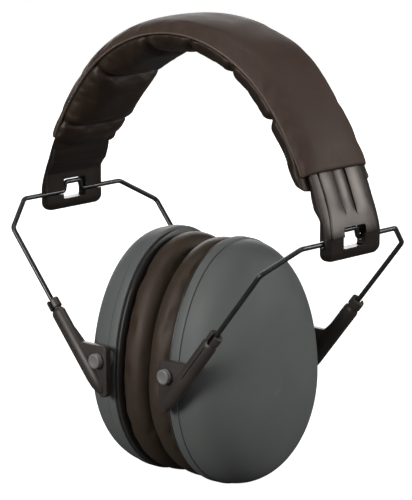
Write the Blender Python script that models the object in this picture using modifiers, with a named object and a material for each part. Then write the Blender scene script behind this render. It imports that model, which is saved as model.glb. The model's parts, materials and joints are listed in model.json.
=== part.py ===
"""Folding passive hearing protector, modelled at rest with its two cups together.

Two oval ear cups hang on sprung wire yokes below a padded plastic headband.
+Z is up, +X is the wearer's left and -Y is the front. The origin is midway
between the cups, level with their lowest point.

Left pieces are modelled first. Rear pieces mirror front ones across Y, and
right pieces mirror left ones across X.
"""

import math

import bmesh
import bpy
from mathutils import Matrix, Vector

MM = 0.001

# Heights of the three pivots and of the headband, above the cups' lowest point.
PIN_Z = 52.0 * MM
HINGE_Z = PIN_Z + 56.5 * MM
CROWN_Z = PIN_Z + 133.9 * MM

# Pivot positions from the middle of the object.
PIN_X = 19.05 * MM
HINGE_X = 76.1 * MM

# Headband strap: a crown arc and then a flatter shoulder arc, down to a thicker end block.
CROWN_RADIUS = 70.5 * MM
SHOULDER_RADIUS = 122.0 * MM
CROWN_HEADING = 50.0
STRAP_END_HEADING = 70.0
SLEEVE_END_HEADING = 64.5
PAD_END_HEADING = 66.5
STRAP_THICKNESS = 2.8 * MM
MOULDING_START_HEADING = 67.0
MOULDING_FULL_HEADING = 67.6
MOULDING_THICKNESS = 4.2 * MM
STRAP_INNER_HALF_WIDTH = 15.5 * MM
STRAP_OUTER_HALF_WIDTH = 13.5 * MM

# End block, which holds the yoke wire in a snap groove on its inner face.
BLOCK_INNER_X = 74.7 * MM
BLOCK_OUTER_X = 79.6 * MM
BLOCK_TOP_Z = PIN_Z + 63.3 * MM
BLOCK_BOTTOM_Z = PIN_Z + 49.4 * MM
BLOCK_CORNER = 3.3 * MM
WINDOW_HALF_WIDTH = 6.35 * MM
WINDOW_LOW_Z = PIN_Z + 53.6 * MM
WINDOW_HIGH_Z = PIN_Z + 61.9 * MM
GROOVE_RADIUS = 1.3 * MM
GROOVE_MOUTH = 1.8 * MM
RIB_SPACING = 6.0 * MM
RIB_GROOVE_WIDTH = 0.9 * MM
RIB_GROOVE_DEPTH = 0.6 * MM
RIB_LOW_Z = PIN_Z + 65.5 * MM
RIB_HIGH_Z = PIN_Z + 81.0 * MM

# Padded sleeve round the strap.
SLEEVE_HALF_WIDTH = 18.9 * MM
COVER_CROWN = 2.4 * MM
COVER_THICKNESS = 1.9 * MM
SEAM_DEPTH = 3.05 * MM
PAD_CROWN_DEPTH = 9.6 * MM
PAD_END_DEPTH = 7.2 * MM
PAD_SWELL = 2.6 * MM
SEAM_GAP = 0.3 * MM

# Yoke wire.
WIRE_RADIUS = 1.0 * MM
WIRE_BEND_RADIUS = 3.5 * MM
LEG_Y = 42.0 * MM
LEG_ANGLE = math.radians(40.0)
CORNER_Y = 27.8 * MM
CORNER_DROP = 9.1 * MM
CORNER_INSET = 8.1 * MM
CRANK_HALF_WIDTH = 4.2 * MM
CRANK_ROOT_HALF_WIDTH = 5.1 * MM
CRANK_OFFSET = 3.8 * MM
CRANK_BEND_RADIUS = 1.25 * MM
LEG_TO_ARM = 34.8 * MM
LEG_IN_ARM = 14.0 * MM

# Slider arms, which hang on the wire's legs and carry the cup pins.
ARM_LENGTH = 44.5 * MM
ARM_HALF_DEPTH = 3.4 * MM
ARM_HALF_THICKNESS = 2.4 * MM
COLLAR_LENGTH = 4.0 * MM
COLLAR_HALF_WIDTH = 3.1 * MM
BORE_RADIUS = 1.35 * MM
BORE_LENGTH = 38.0 * MM
PLATE_NEAR_Y = 39.6 * MM
PLATE_FAR_Y = 42.4 * MM
PLATE_TOP = 6.0 * MM
PLATE_BOTTOM = -15.0 * MM
PLATE_INNER_X = 14.6 * MM
PLATE_CORNER = 2.0 * MM

# Cup pivot pins.
PIN_RADIUS = 1.7 * MM
PIN_HOLE_RADIUS = 1.8 * MM
PIN_SEAT_RADIUS = 1.76 * MM
PIN_HEAD_RADIUS = 3.0 * MM
PIN_ROOT_Y = 35.4 * MM
PIN_NECK_Y = 42.75 * MM
PIN_TIP_Y = 45.2 * MM
BOSS_RADIUS = 3.5 * MM
BOSS_ROOT_Y = 33.4 * MM
BOSS_END_Y = 39.25 * MM

# Ear cup outline: an egg, widest below the pins.
CUP_HALF_WIDTH = 37.3 * MM
CUP_WAIST_Z = PIN_Z - 9.0 * MM
CUP_TOP = 58.0 * MM
CUP_BOTTOM = 43.0 * MM
EGG_POWER = 2.03
EGG_POINTS = 36

# Layers of a cup, as distances from the middle of the object along X.
SHELL_RIM_X = 15.3 * MM
SHELL_BASE_X = 14.5 * MM
SHELL_BULGE = 25.5 * MM
SHELL_POWER = 3.0
SHELL_THICKNESS = 2.2 * MM
PLATE_BACK_X = 15.0 * MM
PLATE_FRONT_X = 13.4 * MM
CUSHION_BACK_X = 13.1 * MM
CUSHION_FACE_X = 0.3 * MM
COVER_SKIN = 0.8 * MM
SEAL_PLATE_EDGE = 0.985
EAR_OPENING = 0.52


def clear_scene():
    for obj in list(bpy.data.objects):
        bpy.data.objects.remove(obj)


def make_collection(name):
    collection = bpy.data.collections.new(name)
    bpy.context.scene.collection.children.link(collection)
    return collection


def make_material(name, colour, roughness, metallic=0.0):
    """A Principled material with one colour."""
    material = bpy.data.materials.new(name)
    material.use_nodes = True
    shader = material.node_tree.nodes["Principled BSDF"]
    shader.inputs["Base Color"].default_value = (*colour, 1.0)
    shader.inputs["Roughness"].default_value = roughness
    shader.inputs["Metallic"].default_value = metallic
    material.diffuse_color = (*colour, 1.0)
    return material


clear_scene()
PARTS = make_collection("folding_hearing_protector")
CUTTERS = make_collection("cutters")

BAND_PLASTIC = make_material("band_plastic", (0.035, 0.030, 0.028), 0.38)
BAND_LEATHERETTE = make_material("band_leatherette", (0.085, 0.066, 0.060), 0.55)
PAD_LEATHERETTE = make_material("pad_leatherette", (0.030, 0.022, 0.018), 0.62)
WIRE_COATING = make_material("wire_coating", (0.020, 0.020, 0.020), 0.35, 0.3)
ARM_PLASTIC = make_material("arm_plastic", (0.020, 0.018, 0.017), 0.45)
CUP_PLASTIC = make_material("cup_plastic", (0.085, 0.090, 0.088), 0.42)
PIN_PLASTIC = make_material("pin_plastic", (0.130, 0.120, 0.115), 0.45)
SEAL_PLASTIC = make_material("seal_plastic", (0.030, 0.027, 0.025), 0.5)
CUSHION_LEATHERETTE = make_material("cushion_leatherette", (0.055, 0.045, 0.038), 0.55)
FOAM = make_material("foam", (0.030, 0.030, 0.032), 0.95)


def link(name, mesh, material):
    """A finished or part-finished piece, as an object of the parts collection."""
    mesh.materials.clear()
    mesh.materials.append(material)
    obj = bpy.data.objects.new(name, mesh)
    PARTS.objects.link(obj)
    return obj


def make_cutter(obj):
    """Turns a piece into a helper that only Booleans read."""
    PARTS.objects.unlink(obj)
    CUTTERS.objects.link(obj)
    obj.hide_render = True
    obj.display_type = "WIRE"
    return obj


def shade_round(mesh, angle=35.0):
    mesh.shade_smooth()
    mesh.set_sharp_from_angle(angle=math.radians(angle))


def loft(name, rings, material, joined=False, cap_start=True, cap_end=True):
    """Skins rings of points in turn, in triangles; joined closes the last ring to the first."""
    shape = bmesh.new()
    rows = [[shape.verts.new(point) for point in ring] for ring in rings]
    pairs = list(zip(rows, rows[1:]))
    if joined:
        pairs.append((rows[-1], rows[0]))
    for low, high in pairs:
        for index in range(len(low)):
            after = (index + 1) % len(low)
            shape.faces.new((low[index], low[after], high[after], high[index]))
    if not joined:
        if cap_start:
            shape.faces.new(reversed(rows[0]))
        if cap_end:
            shape.faces.new(rows[-1])
    bmesh.ops.recalc_face_normals(shape, faces=shape.faces)
    bmesh.ops.triangulate(shape, faces=shape.faces)
    mesh = bpy.data.meshes.new(name)
    shape.to_mesh(mesh)
    shape.free()
    shade_round(mesh)
    return link(name, mesh, material)


def cylinder(name, radius, start, end, material, segments=20):
    """A solid cylinder between two points."""
    axis = end - start
    shape = bmesh.new()
    bmesh.ops.create_cone(
        shape,
        cap_ends=True,
        segments=segments,
        radius1=radius,
        radius2=radius,
        depth=axis.length,
    )
    turn = Vector((0, 0, 1)).rotation_difference(axis).to_matrix().to_4x4()
    place = Matrix.Translation((start + end) / 2) @ turn
    bmesh.ops.transform(shape, matrix=place, verts=shape.verts)
    mesh = bpy.data.meshes.new(name)
    shape.to_mesh(mesh)
    shape.free()
    shade_round(mesh)
    return link(name, mesh, material)


def box(name, low, high, material):
    """A solid box between two corners."""
    shape = bmesh.new()
    bmesh.ops.create_cube(shape, size=1.0)
    size = Vector(high) - Vector(low)
    place = Matrix.Translation((Vector(low) + Vector(high)) / 2) @ Matrix.Diagonal((*size, 1.0))
    bmesh.ops.transform(shape, matrix=place, verts=shape.verts)
    mesh = bpy.data.meshes.new(name)
    shape.to_mesh(mesh)
    shape.free()
    return link(name, mesh, material)


def boolean(obj, other, operation):
    modifier = obj.modifiers.new(other.name, "BOOLEAN")
    modifier.object = other
    modifier.operation = operation
    modifier.solver = "EXACT"


def mirrored(obj, name, axis):
    """A copy of the finished piece on the other side of the middle plane."""
    bpy.context.view_layer.update()
    graph = bpy.context.evaluated_depsgraph_get()
    mesh = bpy.data.meshes.new_from_object(obj.evaluated_get(graph))
    mesh.transform(obj.matrix_world)
    mesh.transform(Matrix.Scale(-1, 4, axis))
    mesh.flip_normals()
    mesh.name = name
    material = obj.data.materials[0]
    return link(name, mesh, material)


def fillet(points, radius, steps=3):
    """A path with its inner corners rounded to arcs of this radius."""
    path = [points[0]]
    for before, corner, after in zip(points, points[1:], points[2:]):
        back = (before - corner).normalized()
        ahead = (after - corner).normalized()
        half = back.angle(ahead) / 2
        reach = radius / math.tan(half)
        centre = corner + (back + ahead).normalized() * (radius / math.sin(half))
        start = (corner + back * reach - centre).normalized()
        end = (corner + ahead * reach - centre).normalized()
        path += [centre + start.slerp(end, step / steps) * radius for step in range(steps + 1)]
    path.append(points[-1])
    return path


def curve_mesh(name, curve, material):
    """Turns curve data into a welded mesh piece."""
    source = bpy.data.objects.new(name + "_curve", curve)
    bpy.context.scene.collection.objects.link(source)
    bpy.context.view_layer.update()
    graph = bpy.context.evaluated_depsgraph_get()
    mesh = bpy.data.meshes.new_from_object(source.evaluated_get(graph))
    mesh.transform(source.matrix_world)
    bpy.data.objects.remove(source)
    shape = bmesh.new()
    shape.from_mesh(mesh)
    bmesh.ops.remove_doubles(shape, verts=shape.verts, dist=0.00001)
    bmesh.ops.recalc_face_normals(shape, faces=shape.faces)
    shape.to_mesh(mesh)
    shape.free()
    mesh.name = name
    shade_round(mesh)
    return link(name, mesh, material)


def wire(name, path, radius, material):
    """A round wire along a path."""
    curve = bpy.data.curves.new(name, "CURVE")
    curve.dimensions = "3D"
    curve.bevel_depth = radius
    curve.bevel_resolution = 2
    curve.use_fill_caps = True
    spline = curve.splines.new("POLY")
    spline.points.add(len(path) - 1)
    for point, place in zip(spline.points, path):
        point.co = (*place, 1.0)
    return curve_mesh(name, curve, material)


def slab(name, outline, low_y, high_y, material):
    """A flat outline, given as (x, z) points, with its thickness along Y."""
    curve = bpy.data.curves.new(name, "CURVE")
    curve.dimensions = "2D"
    curve.fill_mode = "BOTH"
    curve.extrude = (high_y - low_y) / 2
    spline = curve.splines.new("POLY")
    spline.points.add(len(outline) - 1)
    for point, (x, z) in zip(spline.points, outline):
        point.co = (x, z, 0.0, 1.0)
    spline.use_cyclic_u = True
    piece = curve_mesh(name, curve, material)
    stand_up = Matrix.Rotation(math.radians(90.0), 4, "X")
    piece.data.transform(Matrix.Translation((0.0, (low_y + high_y) / 2, 0.0)) @ stand_up)
    return piece


def turned(name, profile, material, segments=20):
    """A turned piece about Z from (radius, height) points, run from top to bottom."""
    mesh = bpy.data.meshes.new(name)
    points = [(radius, 0.0, height) for radius, height in profile]
    mesh.from_pydata(points, [(i, i + 1) for i in range(len(points) - 1)], [])
    piece = link(name, mesh, material)
    screw = piece.modifiers.new("turn", "SCREW")
    screw.axis = "Z"
    screw.steps = segments
    screw.render_steps = segments
    screw.use_merge_vertices = True
    screw.merge_threshold = 0.00001
    bpy.context.view_layer.update()
    graph = bpy.context.evaluated_depsgraph_get()
    piece.data = bpy.data.meshes.new_from_object(piece.evaluated_get(graph))
    piece.modifiers.clear()
    shade_round(piece.data)
    return piece


# --- Headband -------------------------------------------------------------


def band_point(heading, depth):
    """(x, z) at a heading, in degrees from the crown, this far under the strap's outer face."""
    turn = math.radians(heading)
    centre = Vector((0.0, CROWN_Z - CROWN_RADIUS))
    radius = CROWN_RADIUS
    if heading > CROWN_HEADING:
        join = math.radians(CROWN_HEADING)
        centre += (CROWN_RADIUS - SHOULDER_RADIUS) * Vector((math.sin(join), math.cos(join)))
        radius = SHOULDER_RADIUS
    point = centre + (radius - depth) * Vector((math.sin(turn), math.cos(turn)))
    return point.x, point.y


def headings(last):
    """Station headings from the crown facet's edge down to the last one."""
    crown = [5.0, 14.0, 23.0, 32.0, 41.0, CROWN_HEADING]
    shoulder = [55.0, 60.0, SLEEVE_END_HEADING, PAD_END_HEADING]
    ends = [MOULDING_START_HEADING, MOULDING_FULL_HEADING, STRAP_END_HEADING]
    return [heading for heading in crown + shoulder + ends if heading <= last]


def band_ring(heading, section, side):
    """A section of (y, depth) points, set across the band at a heading."""
    ring = []
    for y, depth in section:
        x, z = band_point(heading, depth)
        ring.append(Vector((side * x, y, z)))
    return ring


def band_rings(last, section_at):
    """Rings along the whole arch, right end to left end, each from its heading's section."""
    stations = headings(last)
    right = [band_ring(heading, section_at(heading), -1) for heading in reversed(stations)]
    left = [band_ring(heading, section_at(heading), 1) for heading in stations]
    return right + left


def block_rings(side):
    """End block sections, from the strap down to its rounded bottom edge."""
    narrow = BLOCK_CORNER / 3
    stations = [
        (BLOCK_OUTER_X - 3.1 * MM, BLOCK_INNER_X, BLOCK_TOP_Z + 4.8 * MM, 0.0),
        (BLOCK_OUTER_X - 2.0 * MM, BLOCK_INNER_X, BLOCK_TOP_Z, 0.0),
        (BLOCK_OUTER_X, BLOCK_INNER_X, HINGE_Z + 0.5 * MM, 0.0),
        (BLOCK_OUTER_X, BLOCK_INNER_X, BLOCK_BOTTOM_Z + BLOCK_CORNER, 0.0),
        (BLOCK_OUTER_X - 0.2 * MM, BLOCK_INNER_X, BLOCK_BOTTOM_Z + narrow, narrow),
        (BLOCK_OUTER_X - narrow, BLOCK_INNER_X + narrow, BLOCK_BOTTOM_Z, BLOCK_CORNER),
    ]
    rings = []
    for outer_x, inner_x, z, inset in stations:
        outer = STRAP_OUTER_HALF_WIDTH - inset
        inner = STRAP_INNER_HALF_WIDTH - inset
        rings.append(
            [
                Vector((side * outer_x, outer, z)),
                Vector((side * outer_x, -outer, z)),
                Vector((side * inner_x, -inner, z)),
                Vector((side * inner_x, inner, z)),
            ]
        )
    return rings


def rib_grooves(side):
    """Two shallow grooves down the strap's bare outer face, either side of a flat rib."""
    low_x, low_z = band_point(STRAP_END_HEADING, 0.0)
    high_x, high_z = band_point(SLEEVE_END_HEADING, 0.0)
    lean = (high_x - low_x) / (high_z - low_z)
    grooves = []
    for middle_y in (-RIB_SPACING / 2, RIB_SPACING / 2):
        rings = []
        for z in (RIB_LOW_Z, RIB_HIGH_Z):
            face_x = low_x + (z - low_z) * lean
            corners = [
                (face_x - RIB_GROOVE_DEPTH, -RIB_GROOVE_WIDTH / 2),
                (face_x + 3 * RIB_GROOVE_DEPTH, -RIB_GROOVE_WIDTH / 2),
                (face_x + 3 * RIB_GROOVE_DEPTH, RIB_GROOVE_WIDTH / 2),
                (face_x - RIB_GROOVE_DEPTH, RIB_GROOVE_WIDTH / 2),
            ]
            rings.append([Vector((side * x, middle_y + y, z)) for x, y in corners])
        grooves.append(make_cutter(loft("rib_groove_cutter", rings, BAND_PLASTIC)))
    return grooves


def snap_groove(side):
    """The hinge groove along Y, with a mouth narrower than the wire."""
    reach = STRAP_INNER_HALF_WIDTH + 2.0 * MM
    start = Vector((side * HINGE_X, -reach, HINGE_Z))
    end = Vector((side * HINGE_X, reach, HINGE_Z))
    bore = cylinder("groove_cutter", GROOVE_RADIUS, start, end, BAND_PLASTIC, 16)
    near, far = sorted((side * HINGE_X, side * (BLOCK_INNER_X - 2.0 * MM)))
    mouth = box(
        "groove_mouth_cutter",
        (near, -reach, HINGE_Z - GROOVE_MOUTH / 2),
        (far, reach, HINGE_Z + GROOVE_MOUTH / 2),
        BAND_PLASTIC,
    )
    return [make_cutter(bore), make_cutter(mouth)]


def block_window(side):
    """The window through the end block, where the wire's crank turns."""
    near, far = sorted((side * (BLOCK_INNER_X - 6.0 * MM), side * (BLOCK_OUTER_X + 4.0 * MM)))
    return make_cutter(
        box(
            "window_cutter",
            (near, -WINDOW_HALF_WIDTH, WINDOW_LOW_Z),
            (far, WINDOW_HALF_WIDTH, WINDOW_HIGH_Z),
            BAND_PLASTIC,
        )
    )


def strap_section(heading):
    """The strap's section, thicker where it runs into an end block."""
    thickness = MOULDING_THICKNESS if heading >= MOULDING_FULL_HEADING else STRAP_THICKNESS
    return [
        (STRAP_OUTER_HALF_WIDTH, 0.0),
        (-STRAP_OUTER_HALF_WIDTH, 0.0),
        (-STRAP_INNER_HALF_WIDTH, thickness),
        (STRAP_INNER_HALF_WIDTH, thickness),
    ]


def headband_strap():
    """The springy plastic band with an end block on each side, in one moulding."""
    arch = band_rings(STRAP_END_HEADING, strap_section)
    rings = block_rings(-1)[::-1] + arch + block_rings(1)
    strap = loft("headband_strap", rings, BAND_PLASTIC)
    for side in (-1, 1):
        for cutter in snap_groove(side) + rib_grooves(side) + [block_window(side)]:
            boolean(strap, cutter, "DIFFERENCE")
    return strap


def headband_cover():
    """The sleeve's crowned outer panel, a channel over the strap down to the side seams."""
    wide = SLEEVE_HALF_WIDTH
    skin = 1.3 * MM
    bottom = SEAM_DEPTH - SEAM_GAP / 2
    outer = [
        (wide - 0.2 * MM, bottom),
        (wide, 1.2 * MM),
        (wide - 1.5 * MM, -0.6 * MM),
        (0.63 * wide, -0.8 * COVER_CROWN),
        (0.0, -COVER_CROWN),
    ]
    inner = [
        (STRAP_OUTER_HALF_WIDTH + 1.0 * MM, COVER_THICKNESS - COVER_CROWN),
        (wide - skin, 1.0 * MM),
        (wide - skin, bottom),
    ]
    left_outer = [(-y, depth) for y, depth in outer[:-1]][::-1]
    left_inner = [(-y, depth) for y, depth in inner][::-1]
    section = outer + left_outer + left_inner + inner
    rings = band_rings(SLEEVE_END_HEADING, lambda heading: section)
    return loft("headband_cover", rings, BAND_LEATHERETTE)


def pad_section(heading):
    """The pad's section, which swells above each end of the sleeve and thins at the end itself."""
    top = SEAM_DEPTH + SEAM_GAP / 2
    share = abs(heading) / PAD_END_HEADING
    swell = PAD_SWELL * math.sin(math.pi * share**2.4) ** 2
    bottom = PAD_CROWN_DEPTH + swell + (PAD_END_DEPTH - PAD_CROWN_DEPTH) * share**10
    half = [
        (SLEEVE_HALF_WIDTH - 0.3 * MM, top),
        (SLEEVE_HALF_WIDTH, top + 0.25 * (bottom - top)),
        (SLEEVE_HALF_WIDTH - 0.8 * MM, top + 0.75 * (bottom - top)),
        (SLEEVE_HALF_WIDTH - 3.6 * MM, bottom),
    ]
    return half + [(-y, depth) for y, depth in reversed(half)]


def headband_pad():
    """The foam pad under the strap, closed by the sleeve's inner panel."""
    return loft("headband_pad", band_rings(PAD_END_HEADING, pad_section), PAD_LEATHERETTE)


# --- Yoke wire ------------------------------------------------------------


def leg_direction():
    """Down the wire's leg, in the XZ plane."""
    return Vector((-math.sin(LEG_ANGLE), 0.0, -math.cos(LEG_ANGLE)))


def leg_corner():
    """Where the front leg meets the wire's cross piece."""
    return Vector((HINGE_X - CORNER_INSET, -LEG_Y, HINGE_Z - CORNER_DROP))


def left_yoke_wire():
    """Two legs, a cross piece on the hinge axis and a crank inside the block's window."""
    corner = leg_corner()
    crank_z = HINGE_Z + CRANK_OFFSET
    foot = corner + leg_direction() * (LEG_TO_ARM + LEG_IN_ARM)
    bends = [
        Vector((HINGE_X, -CORNER_Y, HINGE_Z)),
        corner,
    ]
    crank = [
        Vector((HINGE_X, -CRANK_HALF_WIDTH, crank_z)),
        Vector((HINGE_X, -CRANK_ROOT_HALF_WIDTH, HINGE_Z)),
    ]
    middle = Vector((HINGE_X, -WINDOW_HALF_WIDTH - 2.0 * MM, HINGE_Z))
    centre = Vector((HINGE_X, 0.0, crank_z))
    cranked = fillet([centre, *crank, middle], CRANK_BEND_RADIUS)
    legged = fillet([middle, *bends, foot], WIRE_BEND_RADIUS)
    front = cranked[:-1] + legged
    flip = Matrix.Scale(-1, 3, Vector((0, 1, 0)))
    rear = [flip @ point for point in front[1:]]
    return wire("left_yoke_wire", rear[::-1] + front, WIRE_RADIUS, WIRE_COATING)


# --- Slider arm and pivot pin ---------------------------------------------


def arm_top():
    """The centre of the front arm's collar face."""
    return leg_corner() + leg_direction() * LEG_TO_ARM


def arm_frame():
    """From the arm's own axes, +Z up the leg, to the object's axes."""
    lean = Matrix.Rotation(LEG_ANGLE, 4, "Y")
    return Matrix.Translation(arm_top()) @ lean


def arm_tube():
    """The arm's tapered tube, oval in section, with a round collar at its top."""
    profile = [
        (0.0, 0.0),
        (COLLAR_HALF_WIDTH - 0.4 * MM, 0.0),
        (COLLAR_HALF_WIDTH, -0.5 * MM),
        (COLLAR_HALF_WIDTH, -COLLAR_LENGTH),
        (COLLAR_HALF_WIDTH - 0.6 * MM, -COLLAR_LENGTH - 0.3 * MM),
        (ARM_HALF_DEPTH, -COLLAR_LENGTH - 2.0 * MM),
        (ARM_HALF_DEPTH, 6.5 * MM - ARM_LENGTH),
        (0.55 * ARM_HALF_DEPTH, 1.0 * MM - ARM_LENGTH),
        (0.0, -ARM_LENGTH),
    ]
    tube = turned("left_front_arm", profile, ARM_PLASTIC, 16)
    squeeze = Matrix.Diagonal((1.0, ARM_HALF_THICKNESS / ARM_HALF_DEPTH, 1.0, 1.0))
    tube.data.transform(arm_frame() @ squeeze)
    return tube


def arm_plate():
    """The flat plate that joins the tube to the cup's pivot pin."""
    top = PIN_Z + PLATE_TOP
    bottom = PIN_Z + PLATE_BOTTOM
    middle = arm_top()
    slope = math.tan(LEG_ANGLE)
    tube_top_x = middle.x + (top - middle.z) * slope
    tube_bottom_x = middle.x + (bottom - middle.z) * slope
    corners = [
        Vector((tube_top_x, top)),
        Vector((PLATE_INNER_X, top)),
        Vector((PLATE_INNER_X, bottom)),
        Vector((tube_bottom_x, bottom)),
    ]
    outline = fillet(corners, PLATE_CORNER)
    return slab("arm_plate", outline, -PLATE_FAR_Y, -PLATE_NEAR_Y, ARM_PLASTIC)


def left_front_arm():
    """Tube and plate in one moulding, bored for the wire and drilled for the pin."""
    arm = arm_tube()
    boolean(arm, make_cutter(arm_plate()), "UNION")
    start = arm_top() - leg_direction() * MM
    end = arm_top() + leg_direction() * BORE_LENGTH
    bore = cylinder("wire_bore_cutter", BORE_RADIUS, start, end, ARM_PLASTIC, 16)
    boolean(arm, make_cutter(bore), "DIFFERENCE")
    hole_start = Vector((PIN_X, -BOSS_END_Y, PIN_Z))
    hole_end = Vector((PIN_X, -PIN_TIP_Y, PIN_Z))
    hole = cylinder("pin_hole_cutter", PIN_HOLE_RADIUS, hole_start, hole_end, ARM_PLASTIC)
    boolean(arm, make_cutter(hole), "DIFFERENCE")
    return arm


def left_front_pivot_pin():
    """A headed pin, rooted in the cup's boss and free to turn in the arm."""
    chamfer = 0.4 * MM
    profile = [
        (0.0, PIN_TIP_Y),
        (PIN_HEAD_RADIUS - chamfer, PIN_TIP_Y),
        (PIN_HEAD_RADIUS, PIN_TIP_Y - chamfer),
        (PIN_HEAD_RADIUS, PIN_NECK_Y),
        (PIN_RADIUS, PIN_NECK_Y),
        (PIN_RADIUS, PIN_ROOT_Y),
        (0.0, PIN_ROOT_Y),
    ]
    pin = turned("left_front_pivot_pin", profile, PIN_PLASTIC)
    lay_down = Matrix.Rotation(math.radians(90.0), 4, "X")
    pin.data.transform(Matrix.Translation((PIN_X, 0.0, PIN_Z)) @ lay_down)
    return pin


# --- Ear cup --------------------------------------------------------------


def egg_ring(x, scale):
    """The cup's egg outline at a distance along X, scaled about the cup's waist."""
    ring = []
    for index in range(EGG_POINTS):
        turn = 2 * math.pi * index / EGG_POINTS
        across = math.copysign(abs(math.cos(turn)) ** (2 / EGG_POWER), math.cos(turn))
        along = math.copysign(abs(math.sin(turn)) ** (2 / EGG_POWER), math.sin(turn))
        height = CUP_TOP if along > 0 else CUP_BOTTOM
        y = scale * CUP_HALF_WIDTH * across
        ring.append(Vector((x, y, CUP_WAIST_Z + scale * height * along)))
    return ring


def shell_ring(depth):
    """The shell's outer ring at this share of its bulge."""
    scale = (1 - depth**SHELL_POWER) ** (1 / SHELL_POWER)
    return egg_ring(SHELL_BASE_X + depth * SHELL_BULGE, scale)


def left_cup_shell():
    """The moulded cup: an open bowl with a boss for each pivot pin."""
    rim = (SHELL_RIM_X - SHELL_BASE_X) / SHELL_BULGE
    depths = [rim, 0.35, 0.58, 0.75, 0.87, 0.945, 0.985]
    rings = [shell_ring(depth) for depth in depths]
    rings.append(egg_ring(SHELL_BASE_X + SHELL_BULGE, 0.22))
    shell = loft("left_cup_shell", rings, CUP_PLASTIC, cap_start=False)
    skin = shell.modifiers.new("wall", "SOLIDIFY")
    skin.thickness = SHELL_THICKNESS
    skin.offset = -1.0
    skin.use_even_offset = True
    for turn in (-1, 1):
        root = Vector((PIN_X, turn * BOSS_ROOT_Y, PIN_Z))
        end = Vector((PIN_X, turn * BOSS_END_Y, PIN_Z))
        boss = make_cutter(cylinder("pin_boss", BOSS_RADIUS, root, end, CUP_PLASTIC))
        boolean(shell, boss, "UNION")
        seat_root = Vector((PIN_X, turn * (PIN_ROOT_Y - 0.3 * MM), PIN_Z))
        seat_end = Vector((PIN_X, turn * (BOSS_END_Y + 2.0 * MM), PIN_Z))
        seat = make_cutter(cylinder("pin_seat", PIN_SEAT_RADIUS, seat_root, seat_end, CUP_PLASTIC))
        boolean(shell, seat, "DIFFERENCE")
    return shell


def left_acoustic_foam():
    """The absorbing foam block that fills the cup."""
    layers = [(17.5 * MM, 0.84), (25.0 * MM, 0.84), (31.0 * MM, 0.74), (35.5 * MM, 0.55)]
    return loft("left_acoustic_foam", [egg_ring(x, scale) for x, scale in layers], FOAM)


def left_seal_plate():
    """The flat ring that carries the cushion on the cup's rim."""
    section = [
        (PLATE_FRONT_X, SEAL_PLATE_EDGE),
        (PLATE_BACK_X, SEAL_PLATE_EDGE),
        (PLATE_BACK_X, EAR_OPENING),
        (PLATE_FRONT_X, EAR_OPENING),
    ]
    rings = [egg_ring(x, scale) for x, scale in section]
    return loft("left_seal_plate", rings, SEAL_PLASTIC, joined=True)


def left_cushion_foam():
    """The soft ring inside the cushion's cover."""
    section = [
        (CUSHION_BACK_X, 0.89),
        (7.0 * MM, 0.925),
        (2.4 * MM, 0.88),
        (1.5 * MM, 0.78),
        (1.5 * MM, 0.68),
        (3.0 * MM, 0.60),
        (CUSHION_BACK_X, 0.58),
    ]
    rings = [egg_ring(x, scale) for x, scale in section]
    return loft("left_cushion_foam", rings, FOAM, joined=True)


def left_cushion_cover():
    """The cushion's thin skin, open on the side that meets the seal plate."""
    section = [
        (CUSHION_BACK_X, 0.93),
        (7.0 * MM, 0.965),
        (2.2 * MM, 0.93),
        (CUSHION_FACE_X, 0.83),
        (CUSHION_FACE_X, 0.66),
        (2.2 * MM, 0.565),
        (CUSHION_BACK_X, 0.53),
    ]
    rings = [egg_ring(x, scale) for x, scale in section]
    cover = loft("left_cushion_cover", rings, CUSHION_LEATHERETTE, cap_start=False, cap_end=False)
    skin = cover.modifiers.new("skin", "SOLIDIFY")
    skin.thickness = COVER_SKIN
    skin.offset = -1.0
    skin.use_even_offset = True
    return cover


# --- Assembly -------------------------------------------------------------


def pivot(name, place, parent=None):
    """An empty on a joint's axis."""
    empty = bpy.data.objects.new(name, None)
    empty.empty_display_size = 0.01
    PARTS.objects.link(empty)
    empty.location = place - (parent.matrix_world.translation if parent else Vector())
    empty.parent = parent
    bpy.context.view_layer.update()
    return empty


def hang(obj, empty):
    """Moves a piece's origin to the pivot and parents it there, leaving its shape in place."""
    back = Matrix.Translation(-empty.matrix_world.translation)
    obj.data.transform(back)
    obj.parent = empty


def build_side(left_pieces, side_name, side):
    """Hangs one side's pieces on its fold, slide and tilt pivots."""
    fold = pivot(f"{side_name}_yoke_swing", Vector((side * HINGE_X, 0.0, HINGE_Z)))
    top = arm_top()
    slide = pivot(f"{side_name}_height_slide", Vector((side * top.x, 0.0, top.z)), fold)
    tilt = pivot(f"{side_name}_cup_tilt", Vector((side * PIN_X, 0.0, PIN_Z)), slide)
    for obj in left_pieces:
        if "wire" in obj.name:
            hang(obj, fold)
        elif "arm" in obj.name:
            hang(obj, slide)
        else:
            hang(obj, tilt)


def main():
    headband_strap()
    headband_cover()
    headband_pad()
    arm = left_front_arm()
    pin = left_front_pivot_pin()
    left = [
        left_yoke_wire(),
        arm,
        mirrored(arm, "left_rear_arm", Vector((0, 1, 0))),
        pin,
        mirrored(pin, "left_rear_pivot_pin", Vector((0, 1, 0))),
        left_cup_shell(),
        left_acoustic_foam(),
        left_seal_plate(),
        left_cushion_foam(),
        left_cushion_cover(),
    ]
    right = [mirrored(obj, obj.name.replace("left", "right", 1), Vector((1, 0, 0))) for obj in left]
    build_side(left, "left", 1)
    build_side(right, "right", -1)


main()
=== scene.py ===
"""Looks of the folding hearing protector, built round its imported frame.

Left-hand pieces are built first and mirrored across X. A heading is an angle
along the headband, in degrees from the crown, positive towards the wearer's
left (+X). A depth is measured in from the strap's outer face, and a share is a
size relative to the ear cup's outline. Lengths are in metres.
"""

import json
import math

import bmesh
import bpy
import numpy as np
from mathutils import Matrix, Vector, noise


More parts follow.
